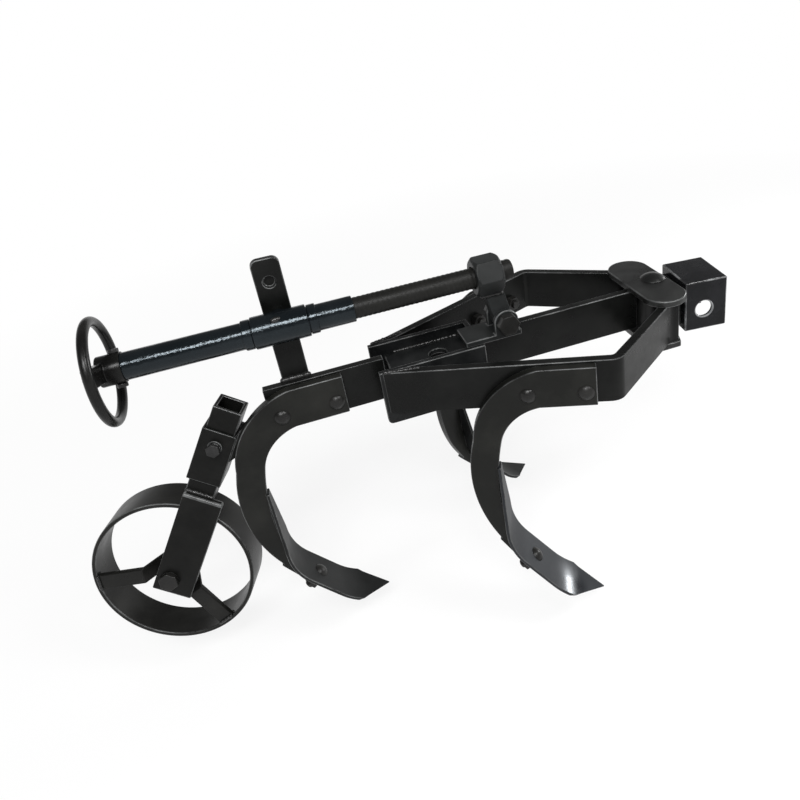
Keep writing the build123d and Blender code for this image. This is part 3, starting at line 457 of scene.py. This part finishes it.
# Tines: flat spring-steel bars forged to a curve, bolted to the beam and the arms
# with cup-head bolts. They carry pointed shovels, pressed from plate and lacquered.
tine_black = painted("tine_black", paint=(0.0062, 0.0064, 0.0056), dust_and_highlight=(0.020, 0.020, 0.0175),
                     dust_and_highlight_amount=0.5, shiny=0.28, dull=0.48)
shovel_black = painted("shovel_black", paint=(0.0070, 0.0076, 0.0092), dust_and_highlight=(0.020, 0.021, 0.024),
                       dust_and_highlight_amount=0.3, shiny=0.20, dull=0.28, bump=0.03, specular=0.34,
                       tint=(0.88, 0.94, 1.0))
dull_shovel = painted("dull_shovel", paint=(0.0075, 0.0080, 0.0080), dust_and_highlight=(0.024, 0.025, 0.025),
                      dust_and_highlight_amount=0.4, shiny=0.42, dull=0.58, bump=0.08)
bolt_black = painted("bolt_black", paint=(0.0058, 0.0057, 0.0054), dust_and_highlight=(0.024, 0.0235, 0.022),
                     dust_and_highlight_amount=0.6, shiny=0.24, dull=0.44, bump=0.12, specular=0.24)

# Soil polish: the right shovel shines most at its low corner
POLISH_BEHIND_POINT = 0.034
POLISH_FROM_SIDE = 0.0118
POLISH_ABOVE_POINT = 0.0102
shovel_low, shovel_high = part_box("right_shovel")
polished_corner = Vector((shovel_high.x - POLISH_BEHIND_POINT, shovel_low.y + POLISH_FROM_SIDE,
                          shovel_low.z + POLISH_ABOVE_POINT))
tree = shovel_black.node_tree
place = add_node(tree, "TexCoord")
away = add_node(tree, "VectorMath", "DISTANCE", values={1: polished_corner})
dulling = add_ramp(tree, start=0.008, end=0.028, high=0.30)
rougher = add_node(tree, "Math", "ADD")
link(tree, (place, "Object"), (away, 0))
link(tree, (away, "Value"), (dulling, "Value"))
link(tree, (dulling, "Result"), (rougher, 0))
link(tree, (tree.nodes["coat"], "Roughness"), (rougher, 1))
link(tree, (rougher, 0), (tree.nodes["Principled BSDF"], "Roughness"))

for node in ("right_tine", "left_tine", "rear_tine"):
    rounded(node, tine_black, edge=0.0008, highlight_finish=painted_edge_highlight)
rounded("right_shovel", shovel_black, edge=0.0006, highlight_finish=painted_edge_highlight)
for node in ("left_shovel", "rear_shovel"):
    rounded(node, dull_shovel, edge=0.0006, highlight_finish=painted_edge_highlight)
for node in ("front_tine_bolts", "front_tine_nuts", "front_shovel_bolts", "front_shovel_nuts",
             "rear_tine_bolts", "rear_tine_nuts", "rear_shovel_bolt", "rear_shovel_nut"):
    rounded(node, bolt_black, edge=0.0005)

# Rear beam: the flat bar that tilts on a pin inside the box, with the upright
# that carries the screw's collar.
rounded("rear_beam", frame_black, edge=0.0008, highlight_finish=painted_edge_highlight)
rounded("upright", frame_black, edge=0.0008, highlight_finish=painted_edge_highlight)
rounded("tilt_pin", bolt_black, edge=0.0006)
rounded("tilt_spacers", bolt_black, edge=0.0006)
UPRIGHT_WELD_GAP = 0.001
TOP_WELD_GAP = 0.0005
TOP_WELD_IN = 0.0004
TOP_WELD_RISE = 0.0006
upright_low, upright_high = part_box("upright")
rear_beam_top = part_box("rear_beam")[1].z
for x, name in ((upright_low.x, "rear"), (upright_high.x, "front")):
    weld(f"upright_weld_{name}", Vector((x, upright_low.y, upright_low.z + UPRIGHT_WELD_GAP)),
         Vector((x, upright_low.y, rear_beam_top - UPRIGHT_WELD_GAP)), bead=0.002, body="rear_frame")
top_weld_y = upright_low.y - TOP_WELD_IN
top_weld_z = rear_beam_top + TOP_WELD_RISE
weld("upright_weld_top", Vector((upright_low.x + TOP_WELD_GAP, top_weld_y, top_weld_z)),
     Vector((upright_high.x - TOP_WELD_GAP, top_weld_y, top_weld_z)), bead=0.0026, body="rear_frame")

# Screw line: a glossy pipe held in a collar by two stop rings, with the threaded
# rod pushed into its front end.
pipe_black = painted("pipe_black", paint=(0.0030, 0.0042, 0.0052), dust_and_highlight=(0.012, 0.015, 0.017),
                     dust_and_highlight_amount=0.3, shiny=0.08, dull=0.18, bump=0.30, specular=0.30,
                     tint=(0.80, 0.92, 1.0))
rod_black = painted("rod_black", paint=(0.0078, 0.0077, 0.0070), dust_and_highlight=(0.020, 0.0195, 0.018),
                    dust_and_highlight_amount=0.5, shiny=0.40, dull=0.58, bump=0.15)
rounded("collar", pipe_black, edge=0.0008)
rounded("trunnion_nut", bolt_black, edge=0.0007)
rounded("screw_pipe", pipe_black, edge=0.0006)
rounded("stop_rings", pipe_black, edge=0.0007)

joints = {joint["name"]: joint for joint in frame["joints"]}
collar_middle = Vector(joints["handwheel_turn"]["pos_m"])


def on_screw(x):
    """A place on the screw's axis."""
    return Vector((x, collar_middle.y, collar_middle.z))


ROD_CORE = 0.0087
THREAD_PITCH = 0.004
THREAD_FROM_END = 0.003
THREAD_HALF_WIDTH = 0.0019
THREAD_FLATNESS = 0.24
THREAD_SINK = 0.0001
THREAD_STEPS = 20
rod_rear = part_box("threaded_rod")[0].x
rod_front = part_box("threaded_rod")[1].x
deselect()
bpy.ops.mesh.primitive_cylinder_add(vertices=40, radius=ROD_CORE, depth=rod_front - rod_rear,
                                    location=on_screw((rod_rear + rod_front) / 2.0),
                                    rotation=(0.0, math.radians(90.0), 0.0))
rod = bpy.context.active_object
settle()
modify(rod, "broken_ends", "BEVEL", width=0.0014, segments=2, limit_method="ANGLE")
deselect()
bpy.ops.mesh.primitive_circle_add(vertices=6, radius=THREAD_HALF_WIDTH, fill_type="NOTHING",
                                  location=(0.0, 0.0, ROD_CORE - THREAD_SINK),
                                  rotation=(math.radians(90.0), 0.0, 0.0))
thread = bpy.context.active_object
thread.scale.y = THREAD_FLATNESS
settle()
modify(thread, "wind", "SCREW", axis="X", angle=math.radians(360.0), screw_offset=THREAD_PITCH,
       iterations=round((rod_front - rod_rear - 2.0 * THREAD_FROM_END) / THREAD_PITCH),
       steps=THREAD_STEPS, render_steps=THREAD_STEPS)
thread.location = on_screw(rod_rear + THREAD_FROM_END)
settle()


def close_ends():
    """Close the thread's two open ends, with all its faces turned outward."""
    bpy.ops.mesh.fill_holes(sides=0)
    bpy.ops.mesh.normals_make_consistent(inside=False)


edit(thread, close_ends)
rod.select_set(True)
bpy.context.view_layer.objects.active = rod
bpy.ops.object.join()
bpy.ops.object.shade_smooth_by_angle(angle=SHARP_ANGLE)
rod.name = "threaded_rod_painted"
rod.data.materials.clear()
rod.data.materials.append(rod_black)
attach(rod, frame["nodes"]["threaded_rod"]["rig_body"])
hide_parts("threaded_rod")

COLLAR_WELD_START = Vector((-0.004, -0.0082, 0.0105))
COLLAR_WELD_END = Vector((0.0, -0.0076, 0.0109))
weld("collar_weld", collar_middle + COLLAR_WELD_START, collar_middle + COLLAR_WELD_END, bead=0.0024,
     body=frame["nodes"]["collar"]["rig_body"])

# Handwheel: a bent round-bar rim on a flat spoke bar, with a hub that is pinned
# to the pipe.
hand_black = painted("hand_black", paint=(0.0038, 0.0038, 0.0036), dust_and_highlight=(0.016, 0.016, 0.015),
                     dust_and_highlight_amount=0.5, shiny=0.22, dull=0.42, specular=0.20)
steel_pin = painted("steel_pin", paint=(0.008, 0.008, 0.008), dust_and_highlight=(0.05, 0.05, 0.05),
                    dust_and_highlight_amount=0.6, shiny=0.25, dull=0.45, bump=0.15, specular=0.25)
rounded("handwheel_rim", hand_black, edge=0.0004)
rounded("handwheel_spokes", hand_black, edge=0.0008)
rounded("handwheel_pin", steel_pin, edge=0.0005)
SPOKE_BAR_TURN = Matrix.Rotation(math.radians(-20.0), 3, "X")
HAND_WELD_OUT = 0.0352
HAND_WELD_HALF = 0.006
hub = on_screw(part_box("handwheel_spokes")[0].x)
for side, name in ((-1, "near"), (1, "far")):
    low = SPOKE_BAR_TURN @ Vector((0.0, side * HAND_WELD_OUT, -HAND_WELD_HALF))
    high = SPOKE_BAR_TURN @ Vector((0.0, side * HAND_WELD_OUT, HAND_WELD_HALF))
    weld(f"hand_weld_{name}", hub + low, hub + high, bead=0.0022,
         body=frame["nodes"]["handwheel_rim"]["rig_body"])

# Travelling nut: a long six-sided nut on the rod with a lug below it, which tilts
# on a bolt in a clevis on the beam.
nut_black = painted("nut_black", paint=(0.0085, 0.0092, 0.0092), dust_and_highlight=(0.030, 0.032, 0.032),
                    dust_and_highlight_amount=0.5, shiny=0.32, dull=0.50)
rounded("screw_nut", nut_black, edge=0.0008)
rounded("nut_lug", nut_black, edge=0.0010)
rounded("nut_clevis", nut_black, edge=0.0009, highlight_finish=painted_edge_highlight)
rounded("lug_bolt", bolt_black, edge=0.0007)
rounded("lug_bolt_nut", bolt_black, edge=0.0007)
LUG_WELD_FROM_REAR = 0.0045
LUG_WELD_FROM_FRONT = 0.0025
LUG_WELD_OUT = 0.0002
CLEVIS_WELD_GAP = 0.004
CLEVIS_WELD_OUT = 0.0006
NUT_WELD_DROP = 0.0004
nut_low, nut_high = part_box("screw_nut")
lug_low, lug_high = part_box("nut_lug")
lug_faces = {"right": lug_low.y - LUG_WELD_OUT, "left": lug_high.y + LUG_WELD_OUT}
clevis_low, clevis_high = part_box("nut_clevis")
for side, name in SIDES:
    lug_weld_z = nut_low.z - NUT_WELD_DROP
    weld(f"lug_weld_{name}", Vector((nut_low.x + LUG_WELD_FROM_REAR, lug_faces[name], lug_weld_z)),
         Vector((nut_high.x - LUG_WELD_FROM_FRONT, lug_faces[name], lug_weld_z)), bead=0.0018,
         body=frame["nodes"]["nut_lug"]["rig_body"])
    clevis_weld_out = side * (beam_half + CLEVIS_WELD_OUT)
    clevis_weld_z = clevis_low.z - NUT_WELD_DROP
    weld(f"clevis_weld_{name}", beside(clevis_low.x + CLEVIS_WELD_GAP, clevis_weld_out, clevis_weld_z),
         beside(clevis_high.x - CLEVIS_WELD_GAP, clevis_weld_out, clevis_weld_z),
         bead=0.0020, body="frame")

# Gauge wheel column: a square post that slides in a sleeve behind the beam, held
# by a clamp bolt, with a flat side arm welded to its foot.
column_black = painted("column_black", paint=(0.0036, 0.0037, 0.0034), dust_and_highlight=(0.014, 0.014, 0.013),
                       dust_and_highlight_amount=0.5, shiny=0.26, dull=0.46, specular=0.11)
for node in ("wheel_sleeve", "sleeve_gusset", "wheel_post"):
    rounded(node, column_black, edge=0.0008, highlight_finish=painted_edge_highlight)
rounded("side_arm", column_black, edge=0.0020, steps=3, highlight_finish=painted_edge_highlight)
rounded("clamp_bolt", steel_pin, edge=0.0006)

wheel_middle = Vector(joints["wheel_spin"]["pos_m"])
along_axle = Vector(joints["wheel_spin"]["axis"])
along_post = Vector(joints["wheel_height"]["axis"])
column_lean = Matrix((along_axle.cross(along_post), along_axle, along_post)).transposed()


def column(across, out, up):
    """A place on the leaning wheel column: across it, out along the axle and up the post."""
    return wheel_middle + column_lean @ Vector((across, out, up))


ARM_SEAM_HALF = 0.011
ARM_TOP_SEAM = (-0.0126, 0.0908)
ARM_FOOT_SEAM = (-0.0122, 0.0736)
post_body = frame["nodes"]["wheel_post"]["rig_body"]
weld("arm_top_weld", column(-ARM_SEAM_HALF, *ARM_TOP_SEAM), column(ARM_SEAM_HALF, *ARM_TOP_SEAM),
     bead=0.0022, body=post_body)
weld("arm_foot_weld", column(-ARM_SEAM_HALF, *ARM_FOOT_SEAM), column(ARM_SEAM_HALF, *ARM_FOOT_SEAM),
     bead=0.0020, body=post_body)
rounded("axle_bolt", bolt_black, edge=0.0008)
rounded("axle_nut", bolt_black, edge=0.0008)

# Gauge wheel: a rolled steel band on three bent strip spokes, turning on a plain
# hub and a bolt.
wheel_black = painted("wheel_black", paint=(0.0072, 0.0072, 0.0066), dust_and_highlight=(0.022, 0.022, 0.020),
                      dust_and_highlight_amount=0.5, shiny=0.26, dull=0.46)
rounded("wheel_rim", wheel_black, edge=0.0008, highlight_finish=painted_edge_highlight)
rounded("wheel_spokes", wheel_black, edge=0.0008)
rounded("wheel_hub", wheel_black, edge=0.0008)
SPOKE_COUNT = 3
FIRST_SPOKE = -90.0
SPOKE_WELD_RADIUS = 0.0684
SPOKE_WELD_HALF = 0.0065
SPOKE_FACES = ((-0.0046, "near"), (-0.0104, "far"))
for number in range(SPOKE_COUNT):
    turn = Matrix.Rotation(math.radians(FIRST_SPOKE - 360.0 / SPOKE_COUNT * number), 3, "Y")
    for out, name in SPOKE_FACES:
        start = turn @ Vector((SPOKE_WELD_RADIUS, out, -SPOKE_WELD_HALF))
        end = turn @ Vector((SPOKE_WELD_RADIUS, out, SPOKE_WELD_HALF))
        weld(f"spoke_weld_{name}_{number + 1}", column(*start), column(*end), bead=0.0016,
             body=frame["nodes"]["wheel_rim"]["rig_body"])
